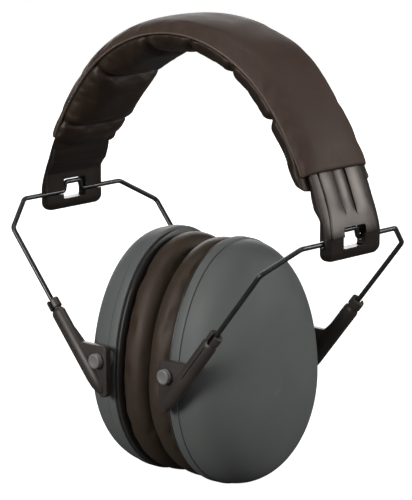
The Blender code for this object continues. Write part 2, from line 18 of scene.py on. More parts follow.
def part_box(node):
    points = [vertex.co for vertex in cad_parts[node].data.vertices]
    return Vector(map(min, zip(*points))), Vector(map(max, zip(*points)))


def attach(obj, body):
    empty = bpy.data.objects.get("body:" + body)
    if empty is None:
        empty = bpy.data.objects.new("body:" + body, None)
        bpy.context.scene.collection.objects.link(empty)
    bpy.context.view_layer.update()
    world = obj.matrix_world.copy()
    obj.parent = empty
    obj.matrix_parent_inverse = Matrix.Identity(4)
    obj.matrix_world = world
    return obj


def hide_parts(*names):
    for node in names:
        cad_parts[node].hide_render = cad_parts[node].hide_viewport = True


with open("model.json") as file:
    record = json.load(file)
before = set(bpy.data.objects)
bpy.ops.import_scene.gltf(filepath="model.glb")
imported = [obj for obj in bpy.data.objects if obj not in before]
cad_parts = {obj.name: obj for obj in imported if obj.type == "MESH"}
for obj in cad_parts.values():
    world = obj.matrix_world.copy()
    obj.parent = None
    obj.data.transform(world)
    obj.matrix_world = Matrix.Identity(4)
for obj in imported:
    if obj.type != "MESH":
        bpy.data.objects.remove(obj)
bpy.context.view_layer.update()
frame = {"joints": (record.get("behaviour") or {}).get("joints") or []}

MM = 0.001


def joint(name):
    return next(j for j in frame["joints"] if j["name"] == name)


# Places read from the frame: the left side's two hinges and its slide direction.
HINGE = Vector(joint("left_yoke_swing")["pos_m"])
PIN = Vector(joint("left_cup_tilt")["pos_m"])
LEG_UP = Vector(joint("left_height_slide")["axis"])

# Headband arcs: a crown arc and then a flatter shoulder arc on each side.
CROWN_Z = 185.9 * MM
CROWN_RADIUS = 70.5 * MM
SHOULDER_RADIUS = 122.0 * MM
CROWN_HEADING = 50.0
STRAP_END_HEADING = 70.0
SLEEVE_END_HEADING = 64.5
PAD_END_HEADING = 67.3

# Strap section and end block.
STRAP_THICKNESS = 2.8 * MM
MOULDING_THICKNESS = 4.2 * MM
FLANK_HALF_WIDTH = 15.8 * MM
FLANK_STEP = 0.65 * MM
PANEL_HALF_WIDTH = 13.2 * MM
PANEL_TOP_HALF_WIDTH = 11.6 * MM
PANEL_EDGE_Z = HINGE.z + 1.9 * MM
RIB_HALF_WIDTH = 3.1 * MM
RIB_RELIEF = 0.42 * MM
RIB_PLACES = [RIB_HALF_WIDTH * step / 6 for step in range(7)]
RIB_FADE_TOP_Z = HINGE.z + 13.2 * MM
RIB_FADE_END_Z = HINGE.z + 8.8 * MM
BLOCK_INNER_X = 74.7 * MM
BLOCK_OUTER_X = 79.6 * MM
BLOCK_BOTTOM_Z = HINGE.z - 7.1 * MM
BLOCK_CORNER = 3.3 * MM
WINDOW_HALF_WIDTH = 6.35 * MM
WINDOW_LOW_Z = HINGE.z - 2.9 * MM
WINDOW_HIGH_Z = HINGE.z + 5.4 * MM
WINDOW_CORNER = 0.7 * MM
SNAP_RADIUS = 1.3 * MM
SNAP_MOUTH = 1.8 * MM

# Padded sleeve.
SLEEVE_HALF_WIDTH = 18.3 * MM
SEAM_DEPTH = 3.05 * MM
COVER_RISE = 5.3 * MM
# Depth of the pad's crest, and height of the cover above the strap, at a heading.
PAD_DEPTHS = [
    (-68.0, 3.8 * MM),
    (-65.5, 5.0 * MM),
    (-62.5, 8.2 * MM),
    (-59.0, 11.4 * MM),
    (-48.0, 12.2 * MM),
    (-30.0, 11.1 * MM),
    (0.0, 9.9 * MM),
    (15.0, 10.0 * MM),
    (32.0, 11.2 * MM),
    (48.0, 12.2 * MM),
    (60.0, 11.5 * MM),
    (68.0, 8.6 * MM),
]
COVER_HEIGHTS = [
    (-20.0, 2.2 * MM),
    (4.0, 1.8 * MM),
    (18.0, 2.3 * MM),
    (33.0, 3.7 * MM),
    (50.0, 2.4 * MM),
]
CHANNEL_HEADINGS = (-60.0, -40.5, -14.0, 7.0, 28.0, 51.5)

# Yoke wire.
WIRE_RADIUS = 1.0 * MM
WIRE_BEND_RADIUS = 3.5 * MM
LEG_Y = 42.0 * MM
CROSS_Y = 27.8 * MM
CORNER_DROP = 9.1 * MM
CORNER_INSET = 8.1 * MM
CRANK_HALF_WIDTH = 4.2 * MM
CRANK_ROOT_HALF_WIDTH = 5.1 * MM
CRANK_OFFSET = 3.8 * MM
CRANK_BEND_RADIUS = 1.25 * MM
LEG_TO_ARM = 34.8 * MM
LEG_IN_ARM = 14.0 * MM

# Slider arms.
ARM_LENGTH = 44.5 * MM
ARM_HALF_DEPTH = 3.4 * MM
ARM_HALF_THICKNESS = 2.4 * MM
COLLAR_LENGTH = 4.0 * MM
COLLAR_RADIUS = 3.1 * MM
BORE_RADIUS = 1.35 * MM
BORE_LENGTH = 38.0 * MM
PLATE_NEAR_Y = 39.6 * MM
PLATE_FAR_Y = 42.4 * MM
PLATE_TOP_Z = PIN.z + 6.0 * MM
PLATE_BOTTOM_Z = PIN.z - 15.0 * MM
PLATE_INNER_X = 14.6 * MM
PLATE_CORNER = 2.0 * MM

# Pins and their bosses.
PIN_RADIUS = 1.7 * MM
PIN_HEAD_RADIUS = 3.0 * MM
PIN_NECK_Y = 42.75 * MM
PIN_TIP_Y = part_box("left_rear_pivot_pin")[1].y
PIN_ROOT_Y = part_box("left_rear_pivot_pin")[0].y
BOSS_RADIUS = 3.5 * MM
BOSS_ROOT_Y = 33.4 * MM
BOSS_END_Y = 39.25 * MM

# Ear cup outline, an egg that is widest below the pins, and its layers along X.
CUP_HALF_WIDTH = 37.3 * MM
WAIST_Z = 43.0 * MM
CUP_TOP = 58.0 * MM
CUP_BOTTOM = 43.0 * MM
EGG_POWER = 2.03
SHELL_RIM_X = 15.3 * MM
SHELL_BASE_X = 14.5 * MM
SHELL_BULGE = 25.5 * MM
SHELL_POWER = 3.0
SHELL_WALL = 2.2 * MM
PLATE_BACK_X = 15.0 * MM
PLATE_FRONT_X = 13.4 * MM
EAR_OPENING = 0.52


# --- Meshes ---------------------------------------------------------------


def add_object(name, mesh):
    obj = bpy.data.objects.new(name, mesh)
    bpy.context.scene.collection.objects.link(obj)
    return obj


def smooth(obj, angle=40.0):
    obj.data.shade_smooth()
    obj.data.set_sharp_from_angle(angle=math.radians(angle))
    return obj


def sheet(name, rows, ring=False, loop=False, caps=False):
    """Quads over rows of points; ring closes each row, loop joins the last row to the first."""
    count = len(rows[0])
    last = len(rows) if loop else len(rows) - 1
    steps = count if ring else count - 1
    faces = []
    for row in range(last):
        low = row * count
        high = (row + 1) % len(rows) * count
        for step in range(steps):
            after = (step + 1) % count
            faces.append((low + step, low + after, high + after, high + step))
    if caps:
        faces.append(tuple(range(count))[::-1])
        faces.append(tuple(range((len(rows) - 1) * count, len(rows) * count)))
    mesh = bpy.data.meshes.new(name)
    mesh.from_pydata([tuple(point) for row in rows for point in row], [], faces)
    shape = bmesh.new()
    shape.from_mesh(mesh)
    bmesh.ops.recalc_face_normals(shape, faces=shape.faces)
    shape.to_mesh(mesh)
    shape.free()
    return smooth(add_object(name, mesh))


def apply_modifiers(obj):
    """Bakes an object's modifiers into its mesh."""
    bpy.context.view_layer.update()
    graph = bpy.context.evaluated_depsgraph_get()
    mesh = bpy.data.meshes.new_from_object(obj.evaluated_get(graph))
    obj.modifiers.clear()
    obj.data = mesh
    return obj


def cut(obj, tool, operation="DIFFERENCE"):
    """Cuts or joins obj with a tool mesh, which is used up."""
    modifier = obj.modifiers.new("cut", "BOOLEAN")
    modifier.object = tool
    modifier.operation = operation
    modifier.solver = "EXACT"
    apply_modifiers(obj)
    bpy.data.objects.remove(tool)
    return smooth(obj)


def soften(obj, width, segments=2, angle=35.0):
    """Rounds an object's edges."""
    modifier = obj.modifiers.new("round", "BEVEL")
    modifier.width = width
    modifier.segments = segments
    modifier.limit_method = "ANGLE"
    modifier.angle_limit = math.radians(angle)
    modifier.harden_normals = False
    apply_modifiers(obj)
    return smooth(obj, 50.0)


def subdivide(obj, levels):
    modifier = obj.modifiers.new("fine", "SUBSURF")
    modifier.levels = levels
    modifier.render_levels = levels
    return apply_modifiers(obj)


def turned(name, profile, segments=48):
    """A turned piece about Z from (radius, height) points that start and end on the axis."""
    rows = []
    for radius, height in profile:
        ring = []
        for step in range(segments):
            turn = 2 * math.pi * step / segments
            ring.append((radius * math.cos(turn), radius * math.sin(turn), height))
        rows.append(ring)
    obj = sheet(name, rows, ring=True, caps=True)
    shape = bmesh.new()
    shape.from_mesh(obj.data)
    bmesh.ops.remove_doubles(shape, verts=shape.verts, dist=1e-7)
    shape.to_mesh(obj.data)
    shape.free()
    return smooth(obj)


def rod(name, start, end, radius, segments=32):
    """A plain cylinder between two points, used to cut and join."""
    axis = end - start
    tool = turned(name, [(0, 0), (radius, 0), (radius, axis.length), (0, axis.length)], segments)
    turn = Vector((0, 0, 1)).rotation_difference(axis).to_matrix().to_4x4()
    tool.data.transform(Matrix.Translation(start) @ turn)
    return tool


def slab(name, outline, low, high, axis):
    """A closed outline of (u, v) points with thickness along one axis, u and v being the other two."""
    rows = []
    for level in (low, high):
        row = []
        for u, v in outline:
            point = [u, v]
            point.insert(axis, level)
            row.append(point)
        rows.append(row)
    return sheet(name, rows, ring=True, caps=True)


def fillet(points, radius, steps):
    """A path with its inner corners rounded to arcs of this radius."""
    path = [points[0]]
    for before, corner, after in zip(points, points[1:], points[2:]):
        back = (before - corner).normalized()
        ahead = (after - corner).normalized()
        half = back.angle(ahead) / 2
        reach = radius / math.tan(half)
        centre = corner + (back + ahead).normalized() * (radius / math.sin(half))
        start = (corner + back * reach - centre).normalized()
        end = (corner + ahead * reach - centre).normalized()
        path += [centre + start.slerp(end, step / steps) * radius for step in range(steps + 1)]
    path.append(points[-1])
    return path


def rounded_box(u_low, u_high, v_low, v_high, radius, steps=5):
    """The outline of a rectangle with rounded corners, as (u, v) points."""
    corners = [
        (u_high - radius, v_high - radius, 0),
        (u_low + radius, v_high - radius, 90),
        (u_low + radius, v_low + radius, 180),
        (u_high - radius, v_low + radius, 270),
    ]
    outline = []
    for u, v, first in corners:
        for step in range(steps + 1):
            turn = math.radians(first + 90 * step / steps)
            outline.append((u + radius * math.cos(turn), v + radius * math.sin(turn)))
    return outline


def smooth_loop(points, count):
    """A closed Catmull-Rom curve through 2D points, in count even steps."""
    dense = []
    total = len(points)
    for index in range(total):
        p0, p1, p2, p3 = (np.array(points[(index + shift - 1) % total]) for shift in range(4))
        for step in range(20):
            t = step / 20
            dense.append(
                0.5 * (2 * p1 + (p2 - p0) * t + (2 * p0 - 5 * p1 + 4 * p2 - p3) * t**2)
                + 0.5 * (3 * p1 - p0 - 3 * p2 + p3) * t**3
            )
    dense = np.array(dense + [dense[0]])
    along = np.concatenate([[0], np.cumsum(np.linalg.norm(np.diff(dense, axis=0), axis=1))])
    wanted = np.linspace(0, along[-1], count, endpoint=False)
    return np.stack([np.interp(wanted, along, dense[:, axis]) for axis in (0, 1)], axis=1)


def wobble(point, size, seed=0.0):
    """Smooth repeatable noise in -1..1 with features of about this size."""
    return noise.noise(Vector(point) / size + Vector((seed, seed * 0.7, -seed)))


# --- Cloth ----------------------------------------------------------------

CLOTH_SCALE = 10.0
CLOTH_FRAMES = 22


def drape(obj, pinned, pressure, growth, cap):
    """Inflates a mesh as cloth held at its pinned points; no point moves further than cap.

    Blender's cloth suits things about a metre across, so the mesh is simulated enlarged.
    """
    start = np.array([vertex.co for vertex in obj.data.vertices])
    obj.data.transform(Matrix.Scale(CLOTH_SCALE, 4))
    group = obj.vertex_groups.new(name="pinned")
    group.add([int(index) for index in pinned], 1.0, "REPLACE")
    modifier = obj.modifiers.new("cloth", "CLOTH")
    cloth = modifier.settings
    cloth.quality = 8
    cloth.mass = 0.3
    cloth.tension_stiffness = 20.0
    cloth.compression_stiffness = 20.0
    cloth.shear_stiffness = 8.0
    cloth.bending_stiffness = 0.6
    cloth.use_pressure = True
    cloth.uniform_pressure_force = pressure
    cloth.shrink_min = -growth
    cloth.vertex_group_mass = "pinned"
    cloth.effector_weights.gravity = 0.0
    modifier.point_cache.frame_start = 1
    modifier.point_cache.frame_end = CLOTH_FRAMES
    scene = bpy.context.scene
    for step in range(1, CLOTH_FRAMES + 1):
        scene.frame_set(step)
    apply_modifiers(obj)
    scene.frame_set(1)
    end = np.array([vertex.co for vertex in obj.data.vertices]) / CLOTH_SCALE
    move = end - start
    length = np.linalg.norm(move, axis=1)
    print("cloth", obj.name, "moved up to", round(float(length.max()) / MM, 2), "mm")
    move *= np.minimum(1.0, cap / np.maximum(length, 1e-9))[:, None]
    obj.data.vertices.foreach_set("co", (start + move).astype(np.float32).ravel())
    obj.data.update()
    obj.vertex_groups.clear()
    return obj


# --- Materials ------------------------------------------------------------


class Nodes:
    """Adds and joins the nodes of one material."""

    def __init__(self, name):
        self.material = bpy.data.materials.new(name)
        self.material.use_nodes = True
        self.tree = self.material.node_tree
        self.shader = self.tree.nodes["Principled BSDF"]
        self.place = self.add("ShaderNodeTexCoord").outputs["Object"]

    def add(self, kind, inputs=None, **settings):
        node = self.tree.nodes.new(kind)
        for key, value in settings.items():
            setattr(node, key, value)
        self.fill(node, inputs or {})
        return node

    def fill(self, node, inputs):
        for key, value in inputs.items():
            if isinstance(value, bpy.types.NodeSocket):
                self.tree.links.new(value, node.inputs[key])
            else:
                node.inputs[key].default_value = value

    def noise(self, size, detail=2.0, roughness=0.5, **settings):
        """Noise with features of about this size."""
        inputs = {"Vector": self.place, "Scale": 1 / size, "Detail": detail, "Roughness": roughness}
        return self.add("ShaderNodeTexNoise", inputs, **settings).outputs["Fac"]

    def cells(self, size, feature="DISTANCE_TO_EDGE"):
        """Cell pattern with cells of about this size, darkest on their borders."""
        inputs = {"Vector": self.place, "Scale": 1 / size}
        return self.add("ShaderNodeTexVoronoi", inputs, feature=feature).outputs["Distance"]

    def span(self, value, low, high, to_low, to_high):
        """Maps low..high to to_low..to_high, clamped."""
        inputs = {
            "Value": value,
            "From Min": low,
            "From Max": high,
            "To Min": to_low,
            "To Max": to_high,
        }
        return self.add("ShaderNodeMapRange", inputs).outputs["Result"]

    def mix(self, factor, first, second):
        """A colour between two colours."""
        node = self.add("ShaderNodeMix", data_type="RGBA")
        self.fill(node, {"Factor": factor})
        for socket, colour in ((node.inputs[6], first), (node.inputs[7], second)):
            if isinstance(colour, bpy.types.NodeSocket):
                self.tree.links.new(colour, socket)
            else:
                socket.default_value = (*colour, 1.0)
        return node.outputs[2]

    def math(self, operation, first, second):
        node = self.add("ShaderNodeMath", operation=operation)
        for socket, value in zip(node.inputs, (first, second)):
            if isinstance(value, bpy.types.NodeSocket):
                self.tree.links.new(value, socket)
            else:
                socket.default_value = value
        return node.outputs[0]

    def bump(self, height, depth, strength=1.0, normal=None):
        """Relief of this depth over an optional earlier relief."""
        inputs = {"Height": height, "Distance": depth, "Strength": strength}
        if normal is not None:
            inputs["Normal"] = normal
        return self.add("ShaderNodeBump", inputs).outputs["Normal"]

    def edges(self):
        """1 on worn outer edges and 0 elsewhere."""
        pointed = self.add("ShaderNodeNewGeometry").outputs["Pointiness"]
        return self.span(pointed, 0.53, 0.62, 0.0, 1.0)

    def finish(self, colour, roughness, normal, **extra):
        self.fill(self.shader, {"Base Color": colour, "Roughness": roughness, "Normal": normal})
        self.fill(self.shader, {key.replace("_", " "): value for key, value in extra.items()})
        return self.material


# Tint of the highlights on the brown leatherette and the band's moulded ends.
WARM_SHINE = (1.0, 0.88, 0.80, 1.0)


def leatherette(name, dark, light, roughness, grain=0.5 * MM, depth=0.03 * MM, gloss=0.5):
    """Soft synthetic leather: fine pebbled grain, faint creases and uneven sheen."""
    n = Nodes(name)
    broad = n.noise(18 * MM, 3.0)
    mottle = n.noise(3.5 * MM, 4.0)
    blend = n.math("ADD", n.math("MULTIPLY", broad, 0.65), n.math("MULTIPLY", mottle, 0.35))
    colour = n.mix(n.span(blend, 0.35, 0.65, 0.0, 1.0), dark, light)
    pores = n.cells(grain)
    colour = n.mix(n.span(pores, 0.0, 0.12, 0.3, 0.0), colour, tuple(0.5 * c for c in dark))
    pebbles = n.span(pores, 0.0, 0.35, 0.0, 1.0)
    relief = n.bump(pebbles, depth, 0.6)
    creases = n.noise(6 * MM, 5.0, 0.6, noise_type="RIDGED_MULTIFRACTAL")
    relief = n.bump(creases, 0.10 * MM, 0.25, relief)
    shine = n.span(n.noise(9 * MM, 3.0), 0.3, 0.7, roughness - 0.05, roughness + 0.07)
    return n.finish(
        colour, shine, relief, Specular_IOR_Level=gloss, Specular_Tint=WARM_SHINE
    )


def moulded_plastic(name, dark, light, roughness, tint=(1.0, 1.0, 1.0, 1.0)):
    """Satin moulded plastic: a fine spark-eroded texture, flow variation and worn edges."""
    n = Nodes(name)
    flow = n.noise(22 * MM, 3.0)
    colour = n.mix(n.span(flow, 0.3, 0.7, 0.0, 1.0), dark, light)
    worn_colour = tuple(min(1.0, 1.25 * c + 0.01) for c in light)
    scuffed = n.math("MULTIPLY", n.edges(), n.span(n.noise(1.5 * MM, 4.0), 0.4, 0.65, 0.2, 0.8))
    colour = n.mix(scuffed, colour, worn_colour)
    grain = n.noise(0.25 * MM, 3.0, 0.6)
    soft_edges = n.add("ShaderNodeBevel", {"Radius": 0.18 * MM}, samples=4).outputs[0]
    relief = n.bump(grain, 0.012 * MM, 0.8, soft_edges)
    smears = n.span(n.noise(14 * MM, 5.0, 0.6), 0.35, 0.7, roughness - 0.04, roughness + 0.06)
    fine = n.span(grain, 0.3, 0.7, -0.03, 0.03)
    return n.finish(colour, n.math("ADD", smears, fine), relief, Specular_Tint=tint)


def coated_wire(name):
    """Black coated spring steel: smooth with a slight orange peel and rubbed spots."""
    n = Nodes(name)
    rub = n.span(n.noise(5 * MM, 5.0, 0.65), 0.55, 0.75, 0.0, 0.6)
    colour = n.mix(rub, (0.018, 0.018, 0.019), (0.05, 0.049, 0.048))
    peel = n.bump(n.noise(0.7 * MM, 2.0), 0.01 * MM, 0.7)
    shine = n.span(n.noise(3 * MM, 3.0), 0.3, 0.7, 0.26, 0.38)
    return n.finish(colour, shine, peel, Specular_IOR_Level=0.6)


def open_foam(name, dark, light):
    """Open-cell foam: deep irregular pores."""
    n = Nodes(name)
    pores = n.cells(0.7 * MM)
    lumps = n.noise(4 * MM, 3.0)
    tone = n.math("MULTIPLY", n.span(pores, 0.0, 0.3, 1.0, 0.35), n.span(lumps, 0.3, 0.7, 0.7, 1.0))
    relief = n.bump(n.span(pores, 0.0, 0.3, 1.0, 0.0), 0.3 * MM, 0.9)
    return n.finish(n.mix(tone, dark, light), 0.95, n.bump(lumps, 0.4 * MM, 0.5, relief))


BAND_PLASTIC = moulded_plastic(
    "band_plastic", (0.0104, 0.0072, 0.0057), (0.0129, 0.0088, 0.0069), 0.36, WARM_SHINE
)
ARM_PLASTIC = moulded_plastic("arm_plastic", (0.0380, 0.0308, 0.0261), (0.0546, 0.0431, 0.0372), 0.42)
CUP_PLASTIC = moulded_plastic("cup_plastic", (0.1192, 0.1279, 0.1227), (0.1363, 0.1435, 0.1378), 0.60)
PIN_PLASTIC = moulded_plastic("pin_plastic", (0.20, 0.19, 0.185), (0.25, 0.24, 0.235), 0.42)
SEAL_PLASTIC = moulded_plastic("seal_plastic", (0.024, 0.021, 0.019), (0.032, 0.028, 0.026), 0.45)
BAND_LEATHER = leatherette(
    "band_leatherette", (0.0584, 0.0378, 0.0296), (0.0708, 0.0458, 0.0357), 0.60, depth=0.012 * MM, gloss=0.32
)
# The welt's leatherette is a lighter copy of the band's; its lighter colour is a painted highlight along the
# welt's ridge.
WELT_HIGHLIGHT_LEATHER = leatherette("welt_painted_highlight_leatherette", (0.135, 0.096, 0.078), (0.160, 0.116, 0.095), 0.50)
PAD_LEATHER = leatherette("pad_leatherette", (0.0195, 0.0106, 0.0059), (0.0270, 0.0151, 0.0087), 0.50)
CUSHION_LEATHER = leatherette(
    "cushion_leatherette",
    (0.0475, 0.0331, 0.0229), (0.0594, 0.0427, 0.0299),
    0.52,
    grain=0.45 * MM,
    gloss=0.35,
)
WIRE_COATING = coated_wire("wire_coating")
DARK_FOAM = open_foam("foam", (0.012, 0.012, 0.013), (0.05, 0.05, 0.052))


# --- Pieces and bodies ----------------------------------------------------


def dress(obj, material, slot, body, *nodes):
    """Gives a finished piece its material and its place in the frame."""
    obj.data.materials.clear()
    obj.data.materials.append(material)
    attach(obj, body)
    if nodes:
        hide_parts(*nodes)
    return obj


def mirrored(obj, name, axis):
    """A copy of a piece on the other side of the plane across this axis."""
    mesh = obj.data.copy()
    flip = [1.0, 1.0, 1.0]
    flip[axis] = -1.0
    mesh.transform(Matrix.Diagonal((*flip, 1.0)))
    mesh.flip_normals()
    return add_object(name, mesh)


def dress_pair(obj, material, slot, body, node):
    """Dresses a left piece and its mirror image on the right."""
    right = mirrored(obj, obj.name.replace("left", "right", 1), 0)
    dress(obj, material, slot, "left_" + body, "left_" + node)
    dress(right, material, slot, "right_" + body, "right_" + node)


# --- Headband -------------------------------------------------------------


def band_point(heading, y, depth):
    """A point of the headband."""
    turn = math.radians(abs(heading))
    x, z, radius = 0.0, CROWN_Z - CROWN_RADIUS, CROWN_RADIUS
    if abs(heading) > CROWN_HEADING:
        join = math.radians(CROWN_HEADING)
        x += (CROWN_RADIUS - SHOULDER_RADIUS) * math.sin(join)
        z += (CROWN_RADIUS - SHOULDER_RADIUS) * math.cos(join)
        radius = SHOULDER_RADIUS
    x += (radius - depth) * math.sin(turn)
    z += (radius - depth) * math.cos(turn)
    return Vector((math.copysign(x, heading), y, z))


def arc_of(heading):
    """Length along the strap's outer face from the crown to a heading."""
    crown = math.radians(min(abs(heading), CROWN_HEADING)) * CROWN_RADIUS
    shoulder = math.radians(max(abs(heading) - CROWN_HEADING, 0.0)) * SHOULDER_RADIUS
    return math.copysign(crown + shoulder, heading)


def heading_of(arc):
    """The heading at a length along the strap's outer face from the crown."""
    crown = math.radians(CROWN_HEADING) * CROWN_RADIUS
    if abs(arc) <= crown:
        return math.degrees(arc / CROWN_RADIUS)
    return math.copysign(CROWN_HEADING + math.degrees((abs(arc) - crown) / SHOULDER_RADIUS), arc)


def even_headings(last, step):
    """Headings about this far apart on the strap's face, from one end to the other."""
    reach = arc_of(last)
    count = round(2 * reach / step)
    return [heading_of(-reach + 2 * reach * index / count) for index in range(count + 1)]


def strap_section(thickness, panel_half, rib, step, inset):
    """Half of the strap's section as (y, depth) points, from the middle of its outer face.

    A half-round rib lies in a shallow channel down the middle of a raised panel, a fine groove
    edges the panel, and the flanks step down beside it. rib and step are shares of full relief.
    """
    side = FLANK_HALF_WIDTH - inset
    wide = min(panel_half, side - 1.2 * MM)
    face = FLANK_STEP * (1 - step)
    flank = FLANK_STEP
    line = flank + 0.3 * MM * step
    points = [(y, face + rib * RIB_RELIEF * (y / RIB_HALF_WIDTH) ** 2) for y in RIB_PLACES]
    points += [
        (RIB_HALF_WIDTH + 0.12 * MM, face + rib * 1.5 * RIB_RELIEF),
        (RIB_HALF_WIDTH + 0.30 * MM, face + rib * 1.5 * RIB_RELIEF),
        (RIB_HALF_WIDTH + 0.36 * MM, face + rib * 0.1 * MM),
        (RIB_HALF_WIDTH + 0.60 * MM, face),
        (wide - 0.45 * MM, face),
        (wide - 0.12 * MM, face + 0.08 * MM * step),
        (wide, face + 0.3 * MM * step),
        (wide + 0.03 * MM, line),
        (wide + 0.32 * MM, line),
        (wide + 0.36 * MM, flank + 0.02 * MM),
        (side - 0.45 * MM, flank + 0.35 * MM),
        (side - 0.12 * MM, flank + 0.5 * MM),
        (side, flank + 0.8 * MM),
        (side, 0.60 * thickness),
        (side - 0.15 * MM, 0.62 * thickness),
        (side - 0.15 * MM, 0.66 * thickness),
        (side, 0.68 * thickness),
        (side, thickness - 0.4 * MM),
        (side - 0.12 * MM, thickness - 0.12 * MM),
        (side - 0.4 * MM, thickness),
        (0.5 * side, thickness),
    ]
    return points


def strap_ring(outer, inner, *relief):
    """The strap's section between an outer and an inner point of the XZ plane."""
    across = (inner - outer).normalized()
    half = strap_section((inner - outer).length, *relief)
    ring = [outer + across * depth + Vector((0, y, 0)) for y, depth in half]
    rear = [outer + across * depth - Vector((0, y, 0)) for y, depth in half[:0:-1]]
    return ring + [inner.copy()] + rear


def blend(value, points):
    """The value's place on a smooth curve through (value, result) points in rising order."""
    (low, result), *others = points
    for high, after in others:
        if value <= high:
            share = max(0.0, (value - low) / (high - low))
            return result + (after - result) * share * share * (3 - 2 * share)
        low, result = high, after
    return result


def arch_stations():
    """Stations from the crown to the strap's end, where the moulding is thicker."""
    headings = [3.0 * step for step in range(20)] + [60.0, 63.0, 65.0, 66.0, 66.5, 67.0, 67.5, 68.0]
    stations = []
    for heading in headings + [69.0, STRAP_END_HEADING]:
        thickness = blend(heading, [(65.5, STRAP_THICKNESS), (69.0, MOULDING_THICKNESS)])
        outer = band_point(heading, 0.0, 0.0)
        inner = band_point(heading, 0.0, thickness)
        stations.append((outer, inner, PANEL_TOP_HALF_WIDTH, 1.0, 1.0, 0.0))
    return stations


def block_stations(top, top_inner):
    """Stations from the strap's end down to the end block's rounded foot."""
    stations = []
    count = 28
    drop = top.z - PANEL_EDGE_Z
    slant = top.z - top_inner.z
    for index in range(1, count + 1):
        share = index / count
        z = top.z - drop * share
        outer_x = top.x + (BLOCK_OUTER_X - top.x) * (1 - (1 - share) ** 1.35)
        inner_z = z - slant * (1 - share) ** 3
        inner_x = blend(-inner_z, [(-top_inner.z, top_inner.x), (6 * MM - top_inner.z, BLOCK_INNER_X)])
        panel_half = blend(-z, [(-top.z, PANEL_TOP_HALF_WIDTH), (-PANEL_EDGE_Z, PANEL_HALF_WIDTH)])
        rib = blend(-z, [(-RIB_FADE_TOP_Z, 1.0), (-RIB_FADE_END_Z, 0.0)])
        outer = Vector((outer_x, 0, z))
        stations.append((outer, Vector((inner_x, 0, inner_z)), panel_half, rib, 1.0, 0.0))
    levels = [(PANEL_EDGE_Z - 0.08 * MM, 0.85, 0.0), (PANEL_EDGE_Z - 0.16 * MM, 0.0, 0.0)]
    for step in range(8):
        turn = math.radians(90 * step / 7)
        inset = BLOCK_CORNER * (1 - math.cos(turn))
        levels.append((BLOCK_BOTTOM_Z + BLOCK_CORNER * (1 - math.sin(turn)), 0.0, inset))
    for z, step, inset in levels:
        outer = Vector((BLOCK_OUTER_X - 0.35 * inset, 0, z))
        inner = Vector((BLOCK_INNER_X + 0.35 * inset, 0, z))
        stations.append((outer, inner, PANEL_HALF_WIDTH, 0.0, step, inset))
    return stations


def strap():
    """The springy band with its end blocks, windows and snap grooves."""
    arch = arch_stations()
    left = [strap_ring(*station) for station in arch + block_stations(*arch[-1][:2])]
    right = [[Vector((-p.x, p.y, p.z)) for p in ring] for ring in left[:0:-1]]
    piece = sheet("headband_moulding", right + left, ring=True, caps=True)
    for side in (-1, 1):
        outline = rounded_box(
            -WINDOW_HALF_WIDTH, WINDOW_HALF_WIDTH, WINDOW_LOW_Z, WINDOW_HIGH_Z, WINDOW_CORNER
        )
        near, far = sorted((side * 65 * MM, side * 90 * MM))
        cut(piece, slab("window", outline, near, far, 0))
        reach = FLANK_HALF_WIDTH + 2 * MM
        axis_x = side * HINGE.x
        start = Vector((axis_x, -reach, HINGE.z))
        cut(piece, rod("snap", start, Vector((axis_x, reach, HINGE.z)), SNAP_RADIUS))
        near, far = sorted((axis_x, side * (BLOCK_INNER_X - 2 * MM)))
        half = SNAP_MOUTH / 2
        mouth = [(near, HINGE.z - half), (far, HINGE.z - half), (far, HINGE.z + half), (near, HINGE.z + half)]
        cut(piece, slab("mouth", mouth, -reach, reach, 1))
    return dress(piece, BAND_PLASTIC, "band_plastic", "headband", "headband_strap")


def cover_section(count):
    """The outer panel's section as (y, share of its rise) points from seam to seam."""
    power = 2.6
    dense = []
    for step in range(401):
        turn = math.pi * step / 400
        across = math.copysign(abs(math.cos(turn)) ** (2 / power), math.cos(turn))
        rise = math.sin(turn) ** (2 / power) if 0 < step < 400 else 0.0
        dense.append((SLEEVE_HALF_WIDTH * across, COVER_RISE * rise))
    dense = np.array(dense)
    along = np.concatenate([[0], np.cumsum(np.linalg.norm(np.diff(dense, axis=0), axis=1))])
    wanted = np.linspace(0, along[-1], count)
    even = [np.interp(wanted, along, dense[:, axis]) for axis in (0, 1)]
    return np.stack([even[0], even[1] / COVER_RISE], axis=1)


def sleeve_cover():
    """The sleeve's outer panel, crowned over the strap, with a rolled hem at each end."""
    across = 34
    section = cover_section(across)
    hem = 1.3 * MM
    rows = []
    held = []
    stations = even_headings(SLEEVE_END_HEADING, 2.4 * MM)
    end_arc = arc_of(SLEEVE_END_HEADING)
    turns = [math.radians(turn) for turn in (30, 60, 90)]
    roll = [(end_arc - hem * (1 - math.sin(turn)), math.cos(turn)) for turn in turns]
    arcs = [(arc_of(h), 1.0) for h in stations if abs(arc_of(h)) < end_arc - hem * 1.2]
    arcs = [(-arc, share) for arc, share in roll[::-1]] + arcs + roll
    for row, (arc, share) in enumerate(arcs):
        heading = heading_of(arc)
        height = SEAM_DEPTH + blend(heading, COVER_HEIGHTS)
        points = []
        for column, (y, rise) in enumerate(section):
            depth = SEAM_DEPTH - 0.15 * MM - height * rise + hem * (1 - share) * min(1.0, 2 * rise)
            points.append(band_point(heading, y, depth))
            edge = column in (0, across - 1)
            if edge or share < 1.0 or row in (3, len(arcs) - 4):
                held.append(row * across + column)
        rows.append(points)
    cover = sheet("sleeve_outer_panel", rows)
    drape(cover, held, 1.2, 0.012, 0.9 * MM)
    skin = cover.modifiers.new("skin", "SOLIDIFY")
    skin.thickness = 0.9 * MM
    skin.offset = -1.0
    apply_modifiers(cover)
    subdivide(cover, 2)
    smooth(cover, 60)
    return dress(cover, BAND_LEATHER, "band_leatherette", "headband", "headband_cover")


